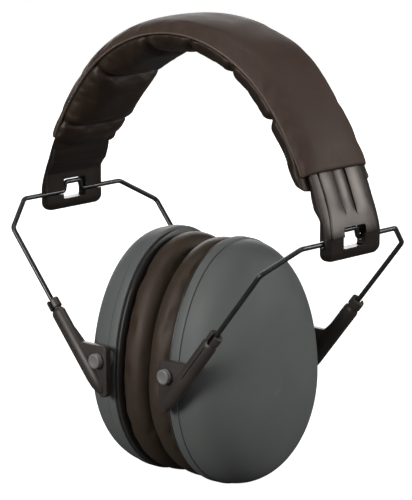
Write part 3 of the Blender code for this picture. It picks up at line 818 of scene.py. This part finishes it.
def sleeve_welt(name, side):
    """The welded seam between the sleeve's two panels, a thin ridge along the edge, in a lighter leatherette
    that paints a highlight along it.
    """
    rows = []
    for heading in even_headings(SLEEVE_END_HEADING - 0.3, 1.2 * MM):
        place = band_point(heading, 0.0, 0.0)
        sway = 0.12 * MM * wobble(place, 9 * MM, side)
        proud = 0.45 * MM + 0.12 * MM * wobble(place, 5 * MM, 2 * side)
        ring = []
        for step in range(10):
            turn = 2 * math.pi * step / 10
            y = SLEEVE_HALF_WIDTH - 0.5 * MM + (0.5 * MM + proud) * math.cos(turn)
            depth = SEAM_DEPTH + sway + 0.38 * MM * math.sin(turn)
            ring.append(band_point(heading, side * y, depth))
        rows.append(ring)
    welt = smooth(sheet(name, rows, ring=True, caps=True), 60)
    # The welt gets the lighter leatherette, a painted highlight along its ridge.
    return dress(welt, WELT_HIGHLIGHT_LEATHER, "band_leatherette", "headband")


def pad_half(heading):
    """Half width of the pad at a heading: nipped at the channels, rounded at the ends."""
    to_end = arc_of(PAD_END_HEADING) - abs(arc_of(heading))
    corner = 2.5 * MM
    tuck = 0.0
    if to_end < corner:
        tuck = corner * (1 - math.sqrt(max(0.0, 1 - (1 - to_end / corner) ** 2)))
    full = SLEEVE_HALF_WIDTH + 0.2 * MM + blend(heading, [(59.0, 0.0), (64.0, 1.5 * MM)])
    return full - 1.3 * MM * channel_share(heading, 1.8 * MM) - 0.7 * tuck


def channel_share(heading, width):
    """1 on a sewn channel, falling to 0 within about this width on each side."""
    arc = arc_of(heading)
    return max(math.exp(-(((arc - arc_of(c)) / width) ** 2)) for c in CHANNEL_HEADINGS)


def pad_depths(heading):
    """Depths of the pad's top and of its crest at a heading."""
    top = SEAM_DEPTH + 0.2 * MM
    bottom = blend(heading, PAD_DEPTHS)
    height = (bottom - top) * (1 - 0.45 * channel_share(heading, 1.6 * MM))
    to_end = arc_of(PAD_END_HEADING) - abs(arc_of(heading))
    hem = 1.6 * MM
    if to_end < hem:
        height = 1.3 * MM
    elif to_end < hem + 3 * MM:
        rise = (to_end - hem) / (3 * MM)
        height = 1.3 * MM + (height - 1.3 * MM) * math.sin(rise * math.pi / 2) ** 0.8
    return top, top + height


def gather(obj):
    """Fine crosswise folds beside each sewn channel, where the cover is gathered."""
    fold_length = 2.8 * MM
    fold_height = 0.2 * MM
    reach = 5 * MM
    for channel in CHANNEL_HEADINGS:
        origin = band_point(channel, 0.0, 0.0)
        inward = (band_point(channel, 0.0, 1 * MM) - origin).normalized()
        along = (band_point(channel + 0.1, 0.0, 0.0) - origin).normalized()
        for vertex in obj.data.vertices:
            offset = vertex.co - origin
            away = offset.dot(along)
            if abs(away) > 3 * reach or offset.dot(inward) < 5 * MM:
                continue
            strength = math.exp(-((away / reach) ** 2)) * (1 - math.exp(-((away / (1.4 * MM)) ** 2)))
            strength *= 0.6 + 0.8 * wobble(vertex.co, 6 * MM, channel)
            sway = 0.5 * MM * wobble((0.0, vertex.co.y, 0.0), 7 * MM, channel)
            wave = math.cos(2 * math.pi * (away + sway) / fold_length)
            vertex.co -= inward * fold_height * strength * wave


def sleeve_pad():
    """The sleeve's padded inner panel: cells between sewn channels, closed against the strap."""
    under = 34
    over = 9
    power = 3.2
    rows = []
    held = []
    stations = even_headings(PAD_END_HEADING, 1.35 * MM)
    for row, heading in enumerate(stations):
        half = pad_half(heading)
        top, bottom = pad_depths(heading)
        points = []
        for step in range(under):
            turn = math.pi * step / (under - 1)
            across = math.copysign(abs(math.cos(turn)) ** (2 / power), math.cos(turn))
            rise = abs(math.sin(turn)) ** (2 / power) if 0 < step < under - 1 else 0.0
            points.append(band_point(heading, half * across, top + (bottom - top) * rise))
        for step in range(1, over + 1):
            y = half * (2 * step / (over + 1) - 1)
            points.append(band_point(heading, y, top))
        near = channel_share(heading, 0.9 * MM) > 0.45
        to_end = arc_of(PAD_END_HEADING) - abs(arc_of(heading))
        for column in range(under + over):
            if near or to_end < 1.8 * MM or column in (0, under - 1) or column >= under:
                held.append(row * (under + over) + column)
        rows.append(points)
    pad = sheet("sleeve_inner_pad", rows, ring=True, caps=True)
    drape(pad, held, 3.5, 0.02, 1.6 * MM)
    subdivide(pad, 1)
    gather(pad)
    smooth(pad, 60)
    return dress(pad, PAD_LEATHER, "pad_leatherette", "headband", "headband_pad")


# --- Yoke wire ------------------------------------------------------------


def leg_corner():
    """Where the front leg meets the wire's cross piece."""
    return Vector((HINGE.x - CORNER_INSET, -LEG_Y, HINGE.z - CORNER_DROP))


def wire_path():
    """The left wire's centre line, from the rear foot round to the front foot."""
    corner = leg_corner()
    crank = Vector((HINGE.x, -CRANK_HALF_WIDTH, HINGE.z + CRANK_OFFSET))
    centre = Vector((crank.x, 0.0, crank.z))
    crank_root = Vector((HINGE.x, -CRANK_ROOT_HALF_WIDTH, HINGE.z))
    middle = Vector((HINGE.x, -WINDOW_HALF_WIDTH - 2 * MM, HINGE.z))
    shoulder = Vector((HINGE.x, -CROSS_Y, HINGE.z))
    foot = corner - LEG_UP * (LEG_TO_ARM + LEG_IN_ARM)
    cranked = fillet([centre, crank, crank_root, middle], CRANK_BEND_RADIUS, 8)
    legged = fillet([middle, shoulder, corner, foot], WIRE_BEND_RADIUS, 12)
    front = cranked[:-1] + legged
    rear = [Vector((p.x, -p.y, p.z)) for p in front[1:]]
    return rear[::-1] + front


def yoke_wire():
    """A round coated wire swept along its path, closed flat at its feet."""
    path = wire_path()
    segments = 20
    rows = []
    side = Vector((0, 1, 0))
    ahead = (path[1] - path[0]).normalized()
    side = (side - ahead * side.dot(ahead)).normalized()
    for index, point in enumerate(path):
        before = path[max(index - 1, 0)]
        after = path[min(index + 1, len(path) - 1)]
        turned_ahead = (after - before).normalized()
        side = ahead.rotation_difference(turned_ahead) @ side
        ahead = turned_ahead
        other = ahead.cross(side)
        ring = []
        for step in range(segments):
            turn = 2 * math.pi * step / segments
            ring.append(point + (side * math.cos(turn) + other * math.sin(turn)) * WIRE_RADIUS)
        rows.append(ring)
    wire = sheet("left_spring_wire", rows, ring=True, caps=True)
    dress_pair(wire, WIRE_COATING, "wire_coating", "yoke", "yoke_wire")


# --- Slider arms and pins -------------------------------------------------


def arm_frame():
    """From the front arm's own axes, +Z up the leg, to the object's axes."""
    top = leg_corner() - LEG_UP * LEG_TO_ARM
    lean = math.atan2(LEG_UP.x, LEG_UP.z)
    return Matrix.Translation(top) @ Matrix.Rotation(lean, 4, "Y")


def arm_tube():
    """The tapered oval tube with its round collar."""
    foot = -ARM_LENGTH
    profile = [
        (0.0, 0.0),
        (COLLAR_RADIUS - 0.6 * MM, 0.0),
        (COLLAR_RADIUS - 0.15 * MM, -0.15 * MM),
        (COLLAR_RADIUS, -0.6 * MM),
        (COLLAR_RADIUS, -COLLAR_LENGTH + 0.2 * MM),
        (COLLAR_RADIUS - 0.25 * MM, -COLLAR_LENGTH),
        (COLLAR_RADIUS - 0.7 * MM, -COLLAR_LENGTH - 0.15 * MM),
        (COLLAR_RADIUS - 0.7 * MM, -COLLAR_LENGTH - 0.5 * MM),
        (ARM_HALF_DEPTH - 0.3 * MM, -COLLAR_LENGTH - 1.4 * MM),
        (ARM_HALF_DEPTH, -COLLAR_LENGTH - 2.2 * MM),
        (ARM_HALF_DEPTH, foot + 8.0 * MM),
        (0.9 * ARM_HALF_DEPTH, foot + 4.5 * MM),
        (0.65 * ARM_HALF_DEPTH, foot + 1.6 * MM),
        (0.35 * ARM_HALF_DEPTH, foot + 0.3 * MM),
        (0.0, foot),
    ]
    tube = turned("left_front_slider", profile, 48)
    squeeze = Matrix.Diagonal((1.0, ARM_HALF_THICKNESS / ARM_HALF_DEPTH, 1.0, 1.0))
    tube.data.transform(arm_frame() @ squeeze)
    return tube


def arm_plate():
    """The flat plate between the tube and the cup's pin, blended into the tube at its top."""
    middle = leg_corner() - LEG_UP * LEG_TO_ARM
    slope = LEG_UP.x / LEG_UP.z
    side = (ARM_HALF_DEPTH - 0.1 * MM) / LEG_UP.z
    top_x = middle.x + (PLATE_TOP_Z - middle.z) * slope - side
    bottom_x = middle.x + (PLATE_BOTTOM_Z - middle.z) * slope
    corners = [
        Vector((top_x + 5 * MM * slope + 1.6 * MM, PLATE_TOP_Z + 5 * MM)),
        Vector((top_x, PLATE_TOP_Z)),
        Vector((PLATE_INNER_X, PLATE_TOP_Z)),
        Vector((PLATE_INNER_X, PLATE_BOTTOM_Z)),
        Vector((bottom_x + 2.4 * MM, PLATE_BOTTOM_Z)),
    ]
    plate = slab("arm_plate", fillet(corners, PLATE_CORNER, 6), -PLATE_FAR_Y, -PLATE_NEAR_Y, 1)
    return soften(plate, 0.3 * MM, 2)


def slider_arm():
    """Tube and plate in one moulding, bored for the wire, slotted in front and drilled for the pin."""
    arm = arm_tube()
    cut(arm, arm_plate(), "UNION")
    top = leg_corner() - LEG_UP * LEG_TO_ARM
    cut(arm, rod("bore", top + LEG_UP * MM, top - LEG_UP * BORE_LENGTH, BORE_RADIUS))
    slot_half = 0.8 * MM
    slot = slab(
        "slot", rounded_box(-slot_half, slot_half, -COLLAR_LENGTH - 1 * MM, 2 * MM, 0.7 * MM), -6 * MM, 0, 1
    )
    slot.data.transform(arm_frame())
    cut(arm, slot)
    line = slab("line", rounded_box(-0.3 * MM, 0.3 * MM, -26 * MM, -7 * MM, 0.25 * MM), -4 * MM, -2.0 * MM, 1)
    line.data.transform(arm_frame())
    cut(arm, line)
    hole_start = Vector((PIN.x, -BOSS_END_Y, PIN.z))
    hole_end = Vector((PIN.x, -PIN_TIP_Y, PIN.z))
    cut(arm, rod("pin_hole", hole_start, hole_end, PIN_RADIUS + 0.1 * MM))
    rear = mirrored(arm, "left_rear_slider", 1)
    dress_pair(arm, ARM_PLASTIC, "arm_plastic", "arms", "front_arm")
    dress_pair(rear, ARM_PLASTIC, "arm_plastic", "arms", "rear_arm")


def pivot_pin():
    """A headed pin with a rounded rim and a shallow dished face."""
    rim = PIN_HEAD_RADIUS
    profile = [
        (0.0, PIN_TIP_Y - 0.25 * MM),
        (0.55 * rim, PIN_TIP_Y - 0.22 * MM),
        (0.68 * rim, PIN_TIP_Y - 0.05 * MM),
        (0.78 * rim, PIN_TIP_Y),
        (rim - 0.3 * MM, PIN_TIP_Y - 0.04 * MM),
        (rim - 0.1 * MM, PIN_TIP_Y - 0.18 * MM),
        (rim, PIN_TIP_Y - 0.45 * MM),
        (rim, PIN_NECK_Y + 0.15 * MM),
        (rim - 0.15 * MM, PIN_NECK_Y),
        (PIN_RADIUS, PIN_NECK_Y),
        (PIN_RADIUS, PIN_ROOT_Y),
        (0.0, PIN_ROOT_Y),
    ]
    rear = turned("left_rear_rivet", profile)
    rear.data.transform(Matrix.Translation((PIN.x, 0.0, PIN.z)) @ Matrix.Rotation(math.radians(-90), 4, "X"))
    front = mirrored(rear, "left_front_rivet", 1)
    dress_pair(rear, PIN_PLASTIC, "pin_plastic", "cup", "rear_pivot_pin")
    dress_pair(front, PIN_PLASTIC, "pin_plastic", "cup", "front_pivot_pin")


# --- Ear cup --------------------------------------------------------------


def egg_point(x, turn, share):
    """A point of the cup's egg outline, scaled about its waist."""
    across = math.copysign(abs(math.cos(turn)) ** (2 / EGG_POWER), math.cos(turn))
    along = math.copysign(abs(math.sin(turn)) ** (2 / EGG_POWER), math.sin(turn))
    height = CUP_TOP if along > 0 else CUP_BOTTOM
    return Vector((x, share * CUP_HALF_WIDTH * across, WAIST_Z + share * height * along))


def egg_sheet(name, section, steps, loop=True):
    """A closed section of (x, share) points carried round the egg."""
    rows = []
    for step in range(steps):
        turn = 2 * math.pi * step / steps
        rows.append([egg_point(x, turn, share) for x, share in section])
    return sheet(name, rows, ring=True, loop=True)


def dome(inset, first, count):
    """(x, share) points over the shell's bulge, from a first angle to its middle."""
    points = []
    for step in range(count + 1):
        turn = math.radians(first + (90 - first) * step / count)
        x = SHELL_BASE_X + (SHELL_BULGE - inset) * math.sin(turn) ** (2 / SHELL_POWER)
        share = (1 - inset / CUP_HALF_WIDTH) * max(math.cos(turn), 0.0) ** (2 / SHELL_POWER)
        points.append((x, max(share, 0.004)))
    return points


def cup_shell():
    """The moulded cup with its rim band, a boss for each pin and a hollow inside."""
    rim = SHELL_RIM_X
    band = [
        (rim + 0.25 * MM, 0.93),
        (rim, 0.937),
        (rim, 0.991),
        (rim + 0.1 * MM, 0.997),
        (rim + 0.3 * MM, 1.0),
        (rim + 3.9 * MM, 0.9985),
        (rim + 4.1 * MM, 0.997),
        (rim + 4.2 * MM, 0.993),
        (rim + 4.25 * MM, 0.984),
        (rim + 4.55 * MM, 0.984),
        (rim + 4.6 * MM, 0.988),
        (rim + 4.75 * MM, 0.9895),
        (rim + 5.0 * MM, 0.9885),
    ]
    outer = [(x, 0.993 * share) for x, share in dome(0.0, 8.0, 48) if x > rim + 5.4 * MM]
    inner = [(x, share) for x, share in dome(SHELL_WALL, 6.0, 30)][::-1]
    section = band + outer + inner
    rows = []
    steps = 144
    for step in range(steps):
        turn = 2 * math.pi * step / steps
        rows.append([egg_point(x, turn, share) for x, share in section])
    shell = sheet("left_ear_cup", rows, ring=True, loop=True)
    for side in (-1, 1):
        root = Vector((PIN.x, side * BOSS_ROOT_Y, PIN.z))
        end = Vector((PIN.x, side * BOSS_END_Y, PIN.z))
        cut(shell, rod("boss", root, end, BOSS_RADIUS, 48), "UNION")
    smooth(shell, 35)
    dress_pair(shell, CUP_PLASTIC, "cup_plastic", "cup", "cup_shell")


def seal_plate():
    """The thin ring that carries the cushion."""
    outer = 0.985
    section = [
        (PLATE_FRONT_X + 0.25 * MM, outer),
        (PLATE_BACK_X - 0.25 * MM, outer),
        (PLATE_BACK_X, outer - 0.007),
        (PLATE_BACK_X, EAR_OPENING + 0.007),
        (PLATE_BACK_X - 0.25 * MM, EAR_OPENING),
        (PLATE_FRONT_X + 0.25 * MM, EAR_OPENING),
        (PLATE_FRONT_X, EAR_OPENING + 0.007),
        (PLATE_FRONT_X, 0.9),
        (PLATE_FRONT_X, outer - 0.007),
    ]
    plate = smooth(egg_sheet("left_seal_ring", section, 120), 50)
    dress_pair(plate, SEAL_PLASTIC, "seal_plastic", "cup", "seal_plate")


def cushion():
    """The soft ring that seals against the head, inflated and held along its back."""
    controls = [
        (13.1, 0.900),
        (12.2, 0.938),
        (9.6, 0.962),
        (6.6, 0.966),
        (3.8, 0.950),
        (1.5, 0.905),
        (0.55, 0.835),
        (0.45, 0.750),
        (0.55, 0.665),
        (1.7, 0.600),
        (4.8, 0.558),
        (9.0, 0.540),
        (12.4, 0.545),
        (13.1, 0.570),
        (13.15, 0.66),
        (13.15, 0.80),
    ]
    loop = smooth_loop([(x * MM / CUP_HALF_WIDTH, share) for x, share in controls], 44)
    section = [(min(x * CUP_HALF_WIDTH, 13.2 * MM), share) for x, share in loop]
    steps = 110
    ring = egg_sheet("left_ear_cushion", section, steps)
    back = 12.9 * MM
    held = [v.index for v in ring.data.vertices if v.co.x > back]
    drape(ring, held, 1.5, 0.02, 0.7 * MM)
    face = 0.32 * MM
    for vertex in ring.data.vertices:
        vertex.co.x = max(vertex.co.x, face)
    subdivide(ring, 1)
    smooth(ring, 60)
    dress_pair(ring, CUSHION_LEATHER, "cushion_leatherette", "cup", "cushion_cover")


def cushion_foam():
    """The foam ring inside the cushion's cover."""
    controls = [(12.6, 0.87), (7.0, 0.92), (2.9, 0.87), (1.9, 0.75), (2.9, 0.64), (12.6, 0.61)]
    loop = smooth_loop([(x * MM / CUP_HALF_WIDTH, share) for x, share in controls], 24)
    section = [(min(x * CUP_HALF_WIDTH, 12.8 * MM), share) for x, share in loop]
    ring = smooth(egg_sheet("left_cushion_core", section, 72), 60)
    dress_pair(ring, DARK_FOAM, "foam", "cup", "cushion_foam")


def acoustic_foam():
    """The absorbing block in the cup, soft-edged and slightly lumpy."""
    rows = []
    layers = [
        (17.6, 0.30),
        (17.45, 0.62),
        (17.5, 0.79),
        (17.9, 0.825),
        (19.0, 0.84),
        (25.0, 0.835),
        (31.0, 0.74),
        (35.0, 0.55),
        (35.6, 0.40),
    ]
    for x, share in layers:
        ring = []
        for step in range(90):
            turn = 2 * math.pi * step / 90
            point = egg_point(x * MM, turn, share)
            lump = 0.25 * MM * wobble(point, 7 * MM, 3.0)
            ring.append(egg_point(x * MM + lump, turn, share + 0.004 * wobble(point, 9 * MM, 5.0)))
        rows.append(ring)
    block = smooth(sheet("left_sound_foam", rows, ring=True, caps=True), 60)
    dress_pair(block, DARK_FOAM, "foam", "cup", "acoustic_foam")


# --- Studio ---------------------------------------------------------------

VIEW_AZIMUTH = math.radians(43.228)
VIEW_ELEVATION = math.radians(11.871)
VIEW_ROLL = math.radians(-0.174)
VIEW_DISTANCE = 1.2023
VIEW_TARGET = Vector((0.0, 0.0, 92.0 * MM))


def camera():
    """A long lens at three-quarter view, slightly above."""
    data = bpy.data.cameras.new("camera")
    data.sensor_width = 36.0
    data.lens = 214.67
    data.shift_x = 0.0019
    data.shift_y = 0.0062
    data.clip_start = 0.05
    data.clip_end = 50.0
    obj = add_object("camera", data)
    flat = math.cos(VIEW_ELEVATION)
    back = Vector(
        (math.sin(VIEW_AZIMUTH) * flat, -math.cos(VIEW_AZIMUTH) * flat, math.sin(VIEW_ELEVATION))
    )
    right = Vector((math.cos(VIEW_AZIMUTH), math.sin(VIEW_AZIMUTH), 0.0))
    up = back.cross(right)
    turned_right = right * math.cos(VIEW_ROLL) + up * math.sin(VIEW_ROLL)
    turned_up = up * math.cos(VIEW_ROLL) - right * math.sin(VIEW_ROLL)
    basis = Matrix((turned_right, turned_up, back)).transposed().to_4x4()
    obj.matrix_world = Matrix.Translation(VIEW_TARGET + back * VIEW_DISTANCE) @ basis
    bpy.context.scene.camera = obj


def softbox(name, azimuth, elevation, distance, width, height, power, colour=(1.0, 1.0, 1.0)):
    """A soft light aimed at the object's middle, placed by azimuth and elevation in degrees."""
    data = bpy.data.lights.new(name, "AREA")
    data.shape = "RECTANGLE"
    data.size = width
    data.size_y = height
    data.energy = power
    data.color = colour
    obj = add_object(name, data)
    a, e = math.radians(azimuth), math.radians(elevation)
    away = Vector((math.sin(a) * math.cos(e), -math.cos(a) * math.cos(e), math.sin(e)))
    obj.location = VIEW_TARGET + away * distance
    obj.rotation_mode = "QUATERNION"
    obj.rotation_quaternion = away.to_track_quat("Z", "Y")
    return obj


WHITE = (1.0, 1.0, 1.0, 1.0)
BACKDROP_SEEN = 1.0
BACKDROP_ON_OBJECT = 0.02
FLOOR_REACH = 6.0
FLOOR_SEEN_GREY = 0.5
FLOOR_SEEN_GLOW = 0.965
FLOOR_ON_OBJECT_GREY = 0.12


def studio():
    """A near-white floor and backdrop, and soft lights."""
    scene = bpy.context.scene
    scene.view_settings.view_transform = "Standard"
    softbox("front_light", -8, 17, 1.0, 0.45, 0.35, 5.9)
    softbox("right_light", 80, 17, 1.0, 0.45, 0.35, 1.3)
    softbox("right_rear_light", 130, 20, 1.0, 0.45, 0.35, 4.7)
    softbox("left_rear_light", -130, 17, 1.0, 0.8, 0.5, 5.0)
    softbox("top_light", 0, 84, 1.0, 0.7, 0.7, 3.4)
    world = bpy.data.worlds.new("world")
    scene.world = world
    world.use_nodes = True
    tree = world.node_tree
    background = tree.nodes["Background"]
    rays = tree.nodes.new("ShaderNodeLightPath")
    strength = tree.nodes.new("ShaderNodeMapRange")
    strength.inputs["To Min"].default_value = BACKDROP_ON_OBJECT
    strength.inputs["To Max"].default_value = BACKDROP_SEEN
    tree.links.new(rays.outputs["Is Camera Ray"], strength.inputs["Value"])
    tree.links.new(strength.outputs["Result"], background.inputs["Strength"])
    background.inputs["Color"].default_value = WHITE
    floor()


def floor():
    """A wide pale floor that reads as white to the camera and stays dim in reflections."""
    mesh = bpy.data.meshes.new("floor")
    reach = FLOOR_REACH
    mesh.from_pydata(
        [(-reach, -reach, 0), (reach, -reach, 0), (reach, reach, 0), (-reach, reach, 0)], [], [(0, 1, 2, 3)]
    )
    obj = add_object("floor", mesh)
    obj.location.z = -0.2 * MM
    n = Nodes("floor")
    diffuse = n.add("ShaderNodeBsdfDiffuse", {"Color": (*[FLOOR_SEEN_GREY] * 3, 1.0)}).outputs[0]
    glow = n.add("ShaderNodeEmission", {"Color": WHITE, "Strength": FLOOR_SEEN_GLOW}).outputs[0]
    seen = n.add("ShaderNodeAddShader")
    n.tree.links.new(diffuse, seen.inputs[0])
    n.tree.links.new(glow, seen.inputs[1])
    other = n.add("ShaderNodeBsdfDiffuse", {"Color": (*[FLOOR_ON_OBJECT_GREY] * 3, 1.0)}).outputs[0]
    path = n.add("ShaderNodeLightPath").outputs["Is Camera Ray"]
    both = n.add("ShaderNodeMixShader", {"Fac": path})
    n.tree.links.new(other, both.inputs[1])
    n.tree.links.new(seen.outputs[0], both.inputs[2])
    n.tree.links.new(both.outputs[0], n.tree.nodes["Material Output"].inputs["Surface"])
    obj.data.materials.append(n.material)


strap()
sleeve_cover()
sleeve_welt("sleeve_front_welt", -1)
sleeve_welt("sleeve_rear_welt", 1)
sleeve_pad()
yoke_wire()
slider_arm()
pivot_pin()
cup_shell()
seal_plate()
cushion()
cushion_foam()
acoustic_foam()
camera()
studio()
